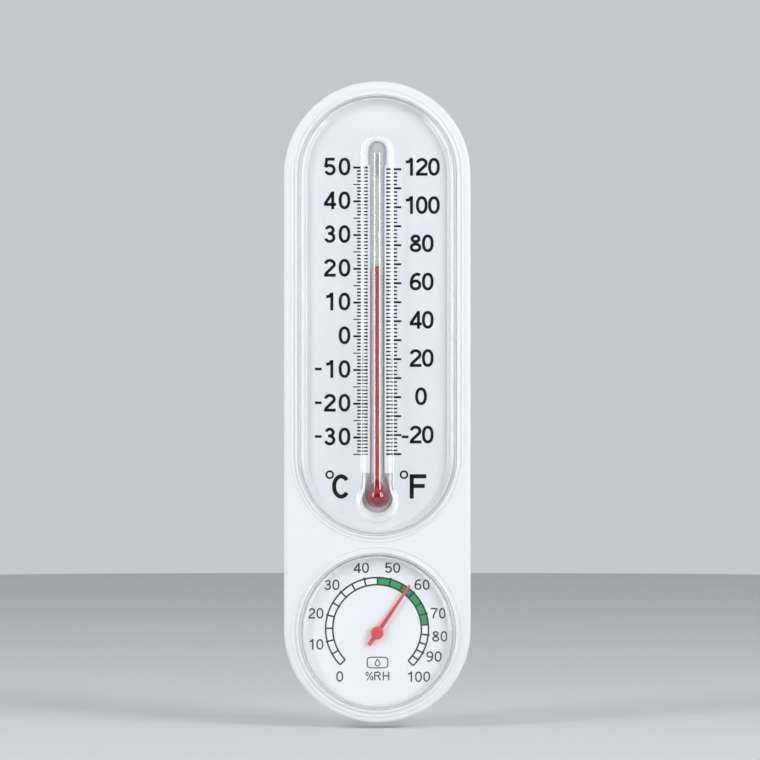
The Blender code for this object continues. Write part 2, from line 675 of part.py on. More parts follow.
def tapered_bar(name, length, root_half, end_half, back, front):
    """A flat arm that starts on the axis and narrows away from it."""
    bm = bmesh.new()
    bmesh.ops.create_cube(bm, size=1)
    for vert in bm.verts:
        far = vert.co.z > 0
        half = end_half if far else root_half
        vert.co.x = math.copysign(half, vert.co.x)
        vert.co.z = length if far else 0
        vert.co.y = -back if vert.co.y > 0 else -front
    return mesh_from(bm, name)


def pointer():
    hub = arc((HUB_R - HUB_ROUND, HUB_FRONT - HUB_ROUND), HUB_ROUND, 90, 0, 4)
    hub = [(0, HUB_FRONT)] + hub + [(HUB_R, HUB_BACK), (0, HUB_BACK)]
    piece = turned_part("pointer", hub, RED_PAINT, DIAL_AXIS, MID_STEPS)
    piece.rotation_euler = (math.pi / 2, POINTER_TILT, 0)
    holder = new_empty("pointer_direction", (0, 0, 0), DIAL_AXIS)
    holder.rotation_euler = (0, POINTER_TILT, 0)
    arm_back = HUB_BACK + GAP
    arm_front = arm_back + ARM_THICK
    arm = tapered_bar("pointer_arm", POINTER_REACH, ARM_ROOT_HALF, ARM_TIP_HALF, arm_back, arm_front)
    join(piece, add_cutter("pointer_arm", arm, holder))
    tail = tapered_bar("pointer_tail", POINTER_TAIL, ARM_ROOT_HALF, ARM_ROOT_HALF, arm_back, arm_front)
    tail_cutter = add_cutter("pointer_tail", tail, holder)
    tail_cutter.rotation_euler = (0, math.pi, 0)
    join(piece, tail_cutter)
    bore = post("pointer_bore", SHAFT_R + RUNNING_FIT, HUB_BACK - PAST, SHAFT_FRONT + RUNNING_FIT, 0, 0)
    cut(piece, add_cutter("pointer_bore", bore, DIAL_AXIS))


def build():
    front_case()
    back_cover()
    cover_screws()
    scale_plate()
    scale_window()
    tube_carrier()
    glass_tube()
    spirit()
    dial_lens()
    dial_plate()
    movement_bridge()
    bridge_screws()
    bushes_and_collet()
    humidity_coil()
    coil_anchor()
    pointer_shaft()
    pointer()


build()
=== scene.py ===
import math

import bmesh
import bpy
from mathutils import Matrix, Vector


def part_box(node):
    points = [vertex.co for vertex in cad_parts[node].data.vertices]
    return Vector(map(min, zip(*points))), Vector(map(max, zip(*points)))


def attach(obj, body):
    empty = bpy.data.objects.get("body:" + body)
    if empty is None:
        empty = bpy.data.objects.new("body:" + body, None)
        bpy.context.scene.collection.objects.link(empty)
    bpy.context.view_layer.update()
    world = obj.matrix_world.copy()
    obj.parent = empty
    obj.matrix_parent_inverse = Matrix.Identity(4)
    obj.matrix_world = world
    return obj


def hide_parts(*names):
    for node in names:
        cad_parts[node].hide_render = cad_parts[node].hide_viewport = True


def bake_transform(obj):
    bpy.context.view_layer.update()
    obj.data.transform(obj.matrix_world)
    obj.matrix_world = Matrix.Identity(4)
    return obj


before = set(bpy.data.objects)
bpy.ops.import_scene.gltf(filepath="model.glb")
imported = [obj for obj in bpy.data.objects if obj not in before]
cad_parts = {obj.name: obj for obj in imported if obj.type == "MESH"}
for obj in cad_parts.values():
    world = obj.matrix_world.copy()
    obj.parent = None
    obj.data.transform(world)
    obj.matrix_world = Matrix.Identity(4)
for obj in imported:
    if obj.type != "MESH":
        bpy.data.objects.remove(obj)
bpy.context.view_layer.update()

MM = 0.001
ROOT = "instrument"
MERGE = 0.00001

# Places read from the frame. Heights below are from the middle of the case.
CASE_LOW, CASE_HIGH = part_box("front_case")
MIDDLE_Z = (CASE_LOW.z + CASE_HIGH.z) / 2
CASE_R = (CASE_HIGH.x - CASE_LOW.x) / 2
ARC_Z = (CASE_HIGH.z - CASE_LOW.z) / 2 - CASE_R
PLATE_FRONT = -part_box("scale_plate")[0].y
TUBE_LOW, TUBE_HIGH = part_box("glass_tube")
TUBE_TOP_Z = TUBE_HIGH.z - MIDDLE_Z
BULB_R = (TUBE_HIGH.x - TUBE_LOW.x) / 2
BULB_Z = TUBE_LOW.z - MIDDLE_Z + BULB_R
TUBE_DEPTH = -(TUBE_LOW.y + TUBE_HIGH.y) / 2
THREAD_LOW, THREAD_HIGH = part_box("spirit_thread")
MENISCUS_LOW, MENISCUS_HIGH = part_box("spirit_meniscus")
LENS_LOW, LENS_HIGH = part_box("dial_lens")
DIAL_Z = (LENS_LOW.z + LENS_HIGH.z) / 2 - MIDDLE_Z

# Clear covers. Depths are off the wall.
FLANGE_BACK = 9.6 * MM
FLANGE_FRONT = 10.6 * MM
FLANGE_REACH = 1.6 * MM
GAP = 0.06 * MM
CLEAR_THICK = 1.2 * MM
SLOPE_START = 12.9 * MM
OVAL_R = 27.7 * MM
OVAL_LOW_Z = -19.0 * MM
SCALE_FLAT_R = 24.9 * MM
SCALE_FLAT_DEPTH = 14.0 * MM
DIAL_R = 27.4 * MM
DIAL_FLAT_R = 25.3 * MM
DIAL_FLAT_DEPTH = 13.5 * MM
FLAT_BORDER = 3 * CLEAR_THICK
OUTER_CORNER = 0.7 * MM
INNER_CORNER = 0.6 * MM
COVER_STEPS = 160

# Keyhole-shaped rise of the upper cover, over the tube and its bulb.
CHANNEL_R = 5.55 * MM
CHANNEL_TOP_Z = 86.9 * MM
CREST_DEPTH = 15.8 * MM
BUMP_R = 7.2 * MM
BUMP_Z = -34.8 * MM
FLARE_R = 8.0 * MM
FLANK_WIDTH = 1.0 * MM
RISE_WALL = 0.35 * MM
RISE_CORNER = 0.6 * MM
FOOT_OUT = 0.25 * MM
FOOT_SINK = 0.5 * MM
FOOT_SHARE = 0.05
FLANK_LOW_SHARE = 0.12
SHOULDER_IN_SHARE, SHOULDER_UP_SHARE = 0.35, 0.62
# Heights where the flanks' painted glint fades out, and where it comes back over the bulb.
PAINTED_GLINT_FADE_Z = (8 * MM, 24 * MM)
PAINTED_GLINT_RETURN_Z = (-33 * MM, -30 * MM)
CREST_WALL = 0.9 * MM

# How squarely a face of a cover looks forwards, as the cosine, sets its finish; on the flanks over the tube
# that finish is a painted glint.
FLANK_BELOW = 0.8
WALL_BELOW = 0.87
SLOPE_BELOW = 0.985
OVER_TUBE_DEPTH = SCALE_FLAT_DEPTH - 0.1 * MM

# Clear plastic, its haze and the painted glint on the rise's flanks.
COVER_TINT = (0.985, 0.99, 0.995)
COVER_IOR = 1.49
HAZE_AND_GLINT_WHITE = (0.96, 0.97, 0.98)
HAZE_ROUGHNESS = 0.25

# Glass, bore and spirit.
TUBE_R = 2.0 * MM
BORE_R = 0.6 * MM
NECK_RISE = 3.2 * MM
NECK_ANGLE = 34
BULB_COAT = 0.3
GLINT_IOR = 2.3
GLINT_ROUGHNESS = 0.04
CROWN_SHARE = 0.85
BULB_FILL_SHARE = 0.86
THREAD_R = BORE_R - 0.05 * MM
THREAD_ROWS = 60
THREAD_SIDES = 24
CUP_SHARE = 0.55
CUP_SHOULDER_DROP = 0.12 * MM
CUP_DROP = 0.18 * MM
SPIRIT_SPECULAR = 0.08
STRIP_HALF = 0.44 * MM
STRIP_BEHIND = 1.15 * MM
STRIP_TOP_Z = 78.7 * MM
STRIP_CORNER = 0.3 * MM
STRIP_THICK = 0.1 * MM

# Printing. Ink stands this far above the plate, in layers.
INK = 0.03 * MM
UNDER_INK = 0.015 * MM
ZERO_C_Z = 22.85 * MM
DEGREE_C = 1.1764 * MM
ZERO_F_Z = 1.63 * MM
DEGREE_F = 0.6621 * MM
C_LOW, C_HIGH = -35, 50
F_LOW, F_HIGH = -30, 120
C_NEAR_X = -3.38 * MM
C_FAR_X = -7.05 * MM
F_NEAR_X = 3.10 * MM
F_FAR_X = 6.94 * MM
LONG_TICK_X = 8.37 * MM
TICK_WIDTH = 0.55 * MM
FINE_TICK_WIDTH = 0.38 * MM
LONG_TICK_WIDTH = 0.72 * MM
LABEL_HEIGHT = 6.2 * MM
LABEL_LIFT = 0.35 * MM
F_LABEL_LIFT = 0.85 * MM
F_LIFT_AT_ZERO, F_LIFT_GAIN = 0.35, 0.65
STROKE = 0.168
C_LAST_X = -11.44 * MM
C_PITCH = 5.1 * MM
F_PITCH = 4.25 * MM
F_LAST_X = 17.6 * MM
F_THREE_LAST_X = 19.75 * MM
F_ONE_DIGIT_X = 15.24 * MM
C_MINUS_X = -21.8 * MM
F_MINUS_X = 8.5 * MM
F_MINUS_DROP = 0.6 * MM
MINUS_LENGTH = 2.4 * MM
MINUS_WIDTH = 0.9 * MM
LOWEST_C_LABEL, LOWEST_F_LABEL = -30, -20

# Bold unit signs: the letter, where its degree ring is and where the letter is.
UNIT_SIGNS = (("C", -16.6 * MM, -12.85 * MM), ("F", 9.3 * MM, 14.1 * MM))
SIGN_RING_R = 1.2 * MM
SIGN_RING_Z = -25.4 * MM
SIGN_RING_LINE = 0.62 * MM
SIGN_Z = -29.5 * MM
SIGN_HEIGHT = 8.5 * MM

# Dial printing, about the middle of its ring.
RING_X = -0.085 * MM
RING_Z = -79.2 * MM
RING_OUTER = 17.93 * MM
RING_INNER = 15.45 * MM
RING_LINE = 0.58 * MM
TICK_OVER = 0.55 * MM
NUMBER_R = 22.05 * MM
NUMBER_HEIGHT = 3.7 * MM
NUMBER_PITCH = 2.88 * MM
NUMBER_NUDGE = {0: 7.8, 20: 1.4, 30: 1.4, 50: 1.3, 70: -2.9, 90: 1.8, 100: -3.6}
GREEN_FROM, GREEN_TO = 45, 75
UNIT_LAST_X = 3.05 * MM
UNIT_PITCH = 3.0 * MM
UNIT_HEIGHT = 3.0 * MM
UNIT_Z = RING_Z - 16.4 * MM
UNIT_STRETCH = 1.22
NUMBER_STROKE = 0.14
PERCENT_STROKE = 0.12
ZERO_INWARD = 1 * MM

# Angles of the marks: even steps up to a percentage, then closing up.
ZERO_ANGLE = 224
EVEN_STEP = 2.99
EVEN_TO = 60
UPPER_ANGLE = 44.6
UPPER_STEP = 2.88
UPPER_CLOSING = 0.0157

# The drop and its frame below the pivot.
EMBLEM_X = 0.07 * MM
EMBLEM_Z = RING_Z - 11.7 * MM
EMBLEM_HALF = (3.6 * MM, 1.85 * MM)
EMBLEM_LINE = 0.38 * MM
DROP_R = 0.82 * MM
DROP_BELOW = 0.35 * MM
DROP_TIP = 1.25 * MM
DROP_LINE = 0.34 * MM

# Lamps: name, azimuth, elevation, distance, size and radiance.
LAMPS = (
    ("right_window", 48, 0, 1.0, (0.46, 2.0), 5.1),
    ("left_window", -50, 0, 1.0, (0.3, 2.0), 5.3),
    ("right_far", 76, 0, 1.0, (0.3, 0.8), 1.6),
    ("left_far", -82, 0, 1.0, (0.3, 0.8), 2.6),
    ("overhead", -12, 50, 1.6, (1.4, 0.9), 0.5),
)
SKY_COLOUR = (0.94, 0.965, 1.0)
SKY_STRENGTH = (0.06, 0.6)
SKY_SPAN = (-0.9, 0.6)
FLOOR_R = 1.2
FLOOR_DROP = 2 * MM
CAMERA_PLACE = (0.94 * MM, -1511.3 * MM, -94.89 * MM)
CAMERA_LENS = 204
CAMERA_SENSOR = 36


def place(x, depth, z):
    """A point of the row frame from across, depth off the wall and height."""
    return (x, -depth, z + MIDDLE_Z)


# ---------------------------------------------------------------- materials

def new_material(name):
    material = bpy.data.materials.new(name)
    material.use_nodes = True
    return material, material.node_tree, material.node_tree.nodes["Principled BSDF"]


def noise(tree, scale, detail=2.0, stretch=(1, 1, 1)):
    """Noise in the piece's own metres, so that scale is features per metre."""
    coords = tree.nodes.new("ShaderNodeTexCoord")
    mapping = tree.nodes.new("ShaderNodeMapping")
    mapping.inputs["Scale"].default_value = stretch
    texture = tree.nodes.new("ShaderNodeTexNoise")
    texture.inputs["Scale"].default_value = scale
    texture.inputs["Detail"].default_value = detail
    tree.links.new(coords.outputs["Object"], mapping.inputs["Vector"])
    tree.links.new(mapping.outputs["Vector"], texture.inputs["Vector"])
    return texture.outputs["Fac"]


def ranged(tree, value, low, high, start=0.35, end=0.65):
    node = tree.nodes.new("ShaderNodeMapRange")
    node.inputs["From Min"].default_value = start
    node.inputs["From Max"].default_value = end
    node.inputs["To Min"].default_value = low
    node.inputs["To Max"].default_value = high
    tree.links.new(value, node.inputs["Value"])
    return node.outputs["Result"]


def mixed(tree, factor, first, second):
    """A colour between two, each a plain colour or another node's output."""
    node = tree.nodes.new("ShaderNodeMix")
    node.data_type = "RGBA"
    tree.links.new(factor, node.inputs["Factor"])
    for socket, colour in ((node.inputs[6], first), (node.inputs[7], second)):
        if isinstance(colour, tuple):
            socket.default_value = (*colour, 1)
        else:
            tree.links.new(colour, socket)
    return node.outputs[2]


def bump(tree, height, strength, distance):
    node = tree.nodes.new("ShaderNodeBump")
    node.inputs["Strength"].default_value = strength
    node.inputs["Distance"].default_value = distance
    tree.links.new(height, node.inputs["Height"])
    return node.outputs["Normal"]


def edges(tree, start=0.52, end=0.60):
    """Where the surface turns outwards sharply, from 0 to 1."""
    geometry = tree.nodes.new("ShaderNodeNewGeometry")
    return ranged(tree, geometry.outputs["Pointiness"], 0.0, 1.0, start, end)


def moulded_plastic(name, colour, shade, roughness, grain, depth):
    """Moulded plastic: faint colour drift, slightly uneven gloss, fine skin."""
    material, tree, shader = new_material(name)
    drift = noise(tree, 45, detail=4)
    tree.links.new(mixed(tree, ranged(tree, drift, 0, 1), colour, shade), shader.inputs["Base Color"])
    low, high = roughness
    tree.links.new(ranged(tree, noise(tree, 60, detail=1), low, high), shader.inputs["Roughness"])
    tree.links.new(bump(tree, noise(tree, grain, detail=3), 0.25, depth), shader.inputs["Normal"])
    return material


def metal(name, colour, shade, roughness, stretch):
    material, tree, shader = new_material(name)
    shader.inputs["Metallic"].default_value = 1.0
    streaks = noise(tree, 900, detail=5, stretch=stretch)
    tree.links.new(mixed(tree, streaks, colour, shade), shader.inputs["Base Color"])
    low, high = roughness
    tree.links.new(ranged(tree, streaks, low, high), shader.inputs["Roughness"])
    tree.links.new(bump(tree, streaks, 0.2, 0.00002), shader.inputs["Normal"])
    return material


def ink(name, colour, shade, roughness=0.45):
    """Screen printing, a little uneven in how thickly it covers."""
    material, tree, shader = new_material(name)
    spread = noise(tree, 1600, detail=3)
    tree.links.new(mixed(tree, ranged(tree, spread, 0, 1), colour, shade), shader.inputs["Base Color"])
    rough = ranged(tree, noise(tree, 700), roughness - 0.08, roughness + 0.1)
    tree.links.new(rough, shader.inputs["Roughness"])
    shader.inputs["Specular IOR Level"].default_value = 0.2
    return material


def let_lamps_through(tree, shader, tint):
    """Diffuse and shadow rays pass straight through, so that lamps light what lies behind."""
    path = tree.nodes.new("ShaderNodeLightPath")
    open_air = tree.nodes.new("ShaderNodeBsdfTransparent")
    open_air.inputs["Color"].default_value = (*tint, 1)
    shown = shader.outputs[0]
    for ray in ("Is Diffuse Ray", "Is Shadow Ray"):
        mix = tree.nodes.new("ShaderNodeMixShader")
        tree.links.new(path.outputs[ray], mix.inputs[0])
        tree.links.new(shown, mix.inputs[1])
        tree.links.new(open_air.outputs[0], mix.inputs[2])
        shown = mix.outputs[0]
    return shown


def clear(name, tint, ior, roughness, ripple):
    """Clear stock with faint ripples in its skin and uneven polish."""
    material, tree, shader = new_material(name)
    shader.inputs["Base Color"].default_value = (*tint, 1)
    shader.inputs["Transmission Weight"].default_value = 1.0
    shader.inputs["IOR"].default_value = ior
    low, high = roughness
    tree.links.new(ranged(tree, noise(tree, 180, detail=3), low, high), shader.inputs["Roughness"])
    tree.links.new(bump(tree, noise(tree, 70), 0.1, ripple), shader.inputs["Normal"])
    surface = let_lamps_through(tree, shader, tint)
    output = tree.nodes["Material Output"]
    tree.links.new(surface, output.inputs["Surface"])
    return material, tree, surface


def cover_plastic():
    return clear("clear_cover", COVER_TINT, COVER_IOR, (0.0, 0.02), 0.00003)[0]


def soft_plastic():
    """The same plastic on the covers' sloped borders, which were polished less."""
    return clear("clear_cover_slope", COVER_TINT, COVER_IOR, (0.16, 0.24), 0.00002)[0]


def heights(tree):
    """Height of the point shaded, in metres from the middle of the case."""
    coords = tree.nodes.new("ShaderNodeTexCoord")
    split = tree.nodes.new("ShaderNodeSeparateXYZ")
    tree.links.new(coords.outputs["Object"], split.inputs[0])
    shift = tree.nodes.new("ShaderNodeMath")
    shift.operation = "SUBTRACT"
    shift.inputs[1].default_value = MIDDLE_Z
    tree.links.new(split.outputs["Z"], shift.inputs[0])
    return shift.outputs[0]


def combine(tree, operation, first, second):
    node = tree.nodes.new("ShaderNodeMath")
    node.operation = operation
    tree.links.new(first, node.inputs[0])
    tree.links.new(second, node.inputs[1])
    return node.outputs[0]


def hazed_plastic(name, low, high, painted_glint):
    """The same plastic where a steep moulded wall is hazed and looks white.

    With the last argument set, the white is a painted glint, seen by the camera alone and fading over part
    of the height where the side lamps' glints run.
    """
    material, tree, surface = clear(name, COVER_TINT, COVER_IOR, (0.0, 0.03), 0.00003)
    white = tree.nodes.new("ShaderNodeBsdfPrincipled")
    white.inputs["Base Color"].default_value = (*HAZE_AND_GLINT_WHITE, 1)
    white.inputs["Roughness"].default_value = HAZE_ROUGHNESS
    haze_and_glint = tree.nodes.new("ShaderNodeMixShader")
    share = ranged(tree, noise(tree, 500, detail=3), low, high)
    # On the rise's flanks this white is a painted glint, faded out by height.
    if painted_glint:
        height = heights(tree)
        upper = ranged(tree, height, 0, 1, *PAINTED_GLINT_FADE_Z)
        lower = ranged(tree, height, 1, 0, *PAINTED_GLINT_RETURN_Z)
        share = combine(tree, "MULTIPLY", share, combine(tree, "MAXIMUM", upper, lower))
    tree.links.new(share, haze_and_glint.inputs[0])
    tree.links.new(surface, haze_and_glint.inputs[1])
    tree.links.new(white.outputs[0], haze_and_glint.inputs[2])
    shown = haze_and_glint.outputs[0]
    # Only camera rays see the painted glint; lamps and reflections see clear plastic.
    if painted_glint:
        path = tree.nodes.new("ShaderNodeLightPath")
        gate = tree.nodes.new("ShaderNodeMixShader")
        tree.links.new(path.outputs["Is Camera Ray"], gate.inputs[0])
        tree.links.new(surface, gate.inputs[1])
        tree.links.new(shown, gate.inputs[2])
        shown = gate.outputs[0]
    tree.links.new(shown, tree.nodes["Material Output"].inputs["Surface"])
    return material


def tube_glass():
    material = clear("tube_glass", (0.97, 0.98, 0.97), 1.5, (0.0, 0.02), 0.00001)[0]
    shader = material.node_tree.nodes["Principled BSDF"]
    tree = material.node_tree
    stem = ranged(tree, heights(tree), BULB_COAT, 1.0, BULB_Z, BULB_Z + BULB_R + NECK_RISE)
    tree.links.new(stem, shader.inputs["Coat Weight"])
    shader.inputs["Coat IOR"].default_value = GLINT_IOR
    shader.inputs["Coat Roughness"].default_value = GLINT_ROUGHNESS
    return material


def spirit_red(name, colour, shade):
    material, tree, shader = new_material(name)
    cloud = noise(tree, 400, detail=3)
    tree.links.new(mixed(tree, cloud, colour, shade), shader.inputs["Base Color"])
    tree.links.new(ranged(tree, cloud, 0.12, 0.25), shader.inputs["Roughness"])
    shader.inputs["Specular IOR Level"].default_value = SPIRIT_SPECULAR
    return material


def pointer_paint():
    material, tree, shader = new_material("pointer_red")
    coat = noise(tree, 900, detail=3)
    body = mixed(tree, coat, (0.80, 0.055, 0.05), (0.66, 0.03, 0.035))
    tree.links.new(mixed(tree, edges(tree), body, (0.86, 0.16, 0.14)), shader.inputs["Base Color"])
    tree.links.new(ranged(tree, coat, 0.25, 0.42), shader.inputs["Roughness"])
    tree.links.new(bump(tree, coat, 0.15, 0.00002), shader.inputs["Normal"])
    return material


def carrier_grey():
    """Matt grey plastic with drawn lines along the tube. Its grey is in part painted shade, standing for the
    shade in the pockets and slot.
    """
    material, tree, shader = new_material("carrier_grey")
    lines = noise(tree, 1500, detail=4, stretch=(1, 1, 0.12))
    tree.links.new(mixed(tree, lines, (0.56, 0.56, 0.57), (0.74, 0.74, 0.75)), shader.inputs["Base Color"])
    tree.links.new(ranged(tree, lines, 0.45, 0.65), shader.inputs["Roughness"])
    tree.links.new(bump(tree, lines, 0.3, 0.00004), shader.inputs["Normal"])
    return material


def paint_nodes():
    """Give every carried-over CAD node its worked material."""
    case = moulded_plastic("case_white", (0.822, 0.846, 0.880), (0.828, 0.850, 0.884),
                           (0.29, 0.31), 420, 0.000002)
    back = moulded_plastic("cover_white", (0.78, 0.80, 0.83), (0.80, 0.82, 0.845),
                           (0.46, 0.54), 2600, 0.00004)
    plate = moulded_plastic("scale_white", (0.80, 0.835, 0.885), (0.83, 0.86, 0.90),
                            (0.42, 0.46), 1500, 0.00002)
    dial = moulded_plastic("dial_white", (0.88, 0.908, 0.953), (0.89, 0.917, 0.957),
                           (0.42, 0.46), 1500, 0.00002)
    steel = metal("screw_steel", (0.60, 0.61, 0.62), (0.42, 0.43, 0.45), (0.22, 0.42), (1, 1, 1))
    shaft = metal("shaft_steel", (0.62, 0.63, 0.64), (0.46, 0.47, 0.49), (0.18, 0.35), (1, 0.1, 1))
    brass = metal("movement_brass", (0.78, 0.57, 0.26), (0.56, 0.39, 0.16), (0.24, 0.45), (1, 1, 0.3))
    coil = metal("coil_strip", (0.40, 0.26, 0.13), (0.28, 0.17, 0.08), (0.35, 0.55), (1, 0.15, 1))
    looks = {
        "front_case": case, "back_cover": back, "cover_screw_left": steel, "cover_screw_right": steel,
        "scale_plate": plate, "tube_carrier": carrier_grey(), "dial_plate": dial,
        "movement_bridge": brass, "bridge_screw_left": steel, "bridge_screw_right": steel,
        "front_bush": brass, "rear_bush": brass, "coil_collet": brass, "humidity_coil": coil,
        "coil_anchor": brass, "pointer_shaft": shaft, "pointer": pointer_paint(),
    }
    for node, look in looks.items():
        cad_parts[node].material_slots[0].material = look


# ----------------------------------------------------------------- geometry

def link_piece(name, mesh, material, body=ROOT):
    mesh.materials.append(material)
    piece = bpy.data.objects.new(name, mesh)
    bpy.context.scene.collection.objects.link(piece)
    if body:
        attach(piece, body)
    return piece


def mesh_from(bm, name):
    mesh = bpy.data.meshes.new(name)
    bm.to_mesh(mesh)
    bm.free()
    return mesh


def smooth(mesh, angle=35):
    mesh.shade_smooth()
    mesh.set_sharp_from_angle(angle=math.radians(angle))


def arc(centre, rx, start, end, steps, ry=None):
    """Points along an arc or part of an ellipse, with the angles in degrees."""
    ry = rx if ry is None else ry
    points = []
    for step in range(steps + 1):
        angle = math.radians(start + (end - start) * step / steps)
        points.append((centre[0] + rx * math.cos(angle), centre[1] + ry * math.sin(angle)))
    return points


def soften(points, radius, steps=4):
    """Round the inner corners of a line of points."""
    result = [points[0]]
    for before, corner, after in zip(points, points[1:], points[2:]):
        corner, before, after = Vector(corner), Vector(before), Vector(after)
        back, on = before - corner, after - corner
        start = corner + back.normalized() * min(radius, back.length * 0.45)
        end = corner + on.normalized() * min(radius, on.length * 0.45)
        for step in range(steps + 1):
            share = step / steps
            point = start * (1 - share) ** 2 + corner * 2 * share * (1 - share) + end * share ** 2
            result.append(tuple(point))
    result.append(points[-1])
    return result


def racetrack_outline(radius, low, high, steps):
    """Two half circles joined by straight sides, anticlockwise from the right."""
    half = steps // 2
    upper = arc((0, high), radius, 0, 180, half)
    lower = arc((0, low), radius, 180, 360, half)
    return upper + lower if high > low else upper[:-1] + lower[:-1]


def keyhole_outline(inset, steps=24):
    """The channel's straight sides, flaring by tangent arcs into the bump."""
    channel = CHANNEL_R - inset
    flare_x = CHANNEL_R + FLARE_R
    rise = math.sqrt((BUMP_R + FLARE_R) ** 2 - flare_x ** 2)
    meet = math.degrees(math.atan2(rise, flare_x))
    right = arc((0, BUMP_Z), BUMP_R - inset, -90, meet, steps)
    right += arc((flare_x, BUMP_Z + rise), FLARE_R + inset, 180 + meet, 180, steps // 2)[1:]
    right += arc((0, CHANNEL_TOP_Z), channel, 0, 90, steps)
    left = [(-x, z) for x, z in reversed(right[1:-1])]
    return right + left


def rings_solid(name, rings):
    """A closed solid through rings of (outline, depth), capped at both ends."""
    bm = bmesh.new()
    made = []
    for outline, depth in rings:
        made.append([bm.verts.new(place(x, depth, z)) for x, z in outline])
    for low, high in zip(made, made[1:]):
        for index in range(len(low)):
            following = (index + 1) % len(low)
            bm.faces.new((low[index], low[following], high[following], high[index]))
    bm.faces.new(made[0])
    bm.faces.new(made[-1])
    bmesh.ops.recalc_face_normals(bm, faces=bm.faces)
    return mesh_from(bm, name)


def cover_solid(name, opening_r, flat_r, flat_depth, low, high, inner):
    """The outside of a clear cover, or the hollow inside it."""
    wall_r = opening_r - GAP
    if inner:
        wall = wall_r - CLEAR_THICK
        section = [(wall, FLANGE_BACK - MM), (wall, SLOPE_START - CLEAR_THICK),
                   (flat_r - CLEAR_THICK / 2, flat_depth - CLEAR_THICK),
                   (flat_r - FLAT_BORDER, flat_depth - CLEAR_THICK)]
        section = soften(section, INNER_CORNER)
        section.insert(-1, (flat_r - CLEAR_THICK / 2 - MM, flat_depth - CLEAR_THICK))
    else:
        flange_r = opening_r + FLANGE_REACH
        top = [(wall_r, FLANGE_FRONT), (wall_r, SLOPE_START), (flat_r, flat_depth),
               (flat_r - FLAT_BORDER, flat_depth)]
        section = [(flange_r, FLANGE_BACK), (flange_r, FLANGE_FRONT)] + soften(top, OUTER_CORNER)
        section.insert(-1, (flat_r - MM, flat_depth))
    rings = [(racetrack_outline(radius, low, high, COVER_STEPS), depth) for radius, depth in section]
    return rings_solid(name, rings)


def keyhole_solid(name, inset, base, crest):
    """The raised channel: a fillet at its foot, a steep flank, a round shoulder."""
    rise = crest - base
    section = [(inset - FOOT_OUT, base - FOOT_SINK), (inset - FOOT_OUT, base + FOOT_SHARE * rise)]
    flank = [(inset, base + FLANK_LOW_SHARE * rise),
             (inset + SHOULDER_IN_SHARE * FLANK_WIDTH, base + SHOULDER_UP_SHARE * rise),
             (inset + FLANK_WIDTH, crest), (inset + 2 * FLANK_WIDTH, crest)]
    section += soften(flank, RISE_CORNER)
    return rings_solid(name, [(keyhole_outline(step), depth) for step, depth in section])


def haze_walls(mesh, flank, wall, slope):
    """Give the rise's outer flanks their painted glint, and the cover's walls and slopes their finish."""
    for look in (flank, wall, slope):
        mesh.materials.append(look)
    for face in mesh.polygons:
        front = -face.normal.y
        over_tube = abs(face.center.x) < BUMP_R + MM and -face.center.y > OVER_TUBE_DEPTH
        if over_tube and 0 < front < FLANK_BELOW:
            face.material_index = 1
        elif abs(front) < WALL_BELOW and not over_tube:
            face.material_index = 2
        elif WALL_BELOW <= front < SLOPE_BELOW and not over_tube:
            face.material_index = 3


def combined(name, base, tools, looks):
    """The base mesh after Booleans with tools, as one finished piece."""
    piece = bpy.data.objects.new(name, base)
    bpy.context.scene.collection.objects.link(piece)
    helpers = []
    for mesh, operation in tools:
        tool = bpy.data.objects.new(name + "_tool", mesh)
        bpy.context.scene.collection.objects.link(tool)
        modifier = piece.modifiers.new("shape", "BOOLEAN")
        modifier.operation = operation
        modifier.solver = "EXACT"
        modifier.object = tool
        helpers.append(tool)
    bpy.context.view_layer.update()
    shaped = bpy.data.meshes.new_from_object(piece.evaluated_get(bpy.context.evaluated_depsgraph_get()))
    for extra in helpers + [piece]:
        bpy.data.objects.remove(extra)
    smooth(shaped)
    shaped.materials.clear()
    finished = link_piece(name, shaped, looks[0])
    haze_walls(shaped, *looks[1:])
    even = finished.modifiers.new("even", "WEIGHTED_NORMAL")
    even.keep_sharp = True
    return finished


def scale_cover(looks):
    outside = cover_solid("scale_cover", OVAL_R, SCALE_FLAT_R, SCALE_FLAT_DEPTH, OVAL_LOW_Z, ARC_Z, False)
    hollow = cover_solid("scale_hollow", OVAL_R, SCALE_FLAT_R, SCALE_FLAT_DEPTH, OVAL_LOW_Z, ARC_Z, True)
    rise = keyhole_solid("rise", 0.0, SCALE_FLAT_DEPTH, CREST_DEPTH)
    under = keyhole_solid("under", RISE_WALL, SCALE_FLAT_DEPTH - CLEAR_THICK, CREST_DEPTH - CREST_WALL)
    tools = [(hollow, "DIFFERENCE"), (rise, "UNION"), (under, "DIFFERENCE")]
    cover = combined("scale_cover_clear", outside, tools, looks)
    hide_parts("scale_window")


def dial_cover(looks):
    outside = cover_solid("dial_cover", DIAL_R, DIAL_FLAT_R, DIAL_FLAT_DEPTH, DIAL_Z, DIAL_Z, False)
    hollow = cover_solid("dial_hollow", DIAL_R, DIAL_FLAT_R, DIAL_FLAT_DEPTH, DIAL_Z, DIAL_Z, True)
    cover = combined("dial_cover_clear", outside, [(hollow, "DIFFERENCE")], looks)
    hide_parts("dial_lens")


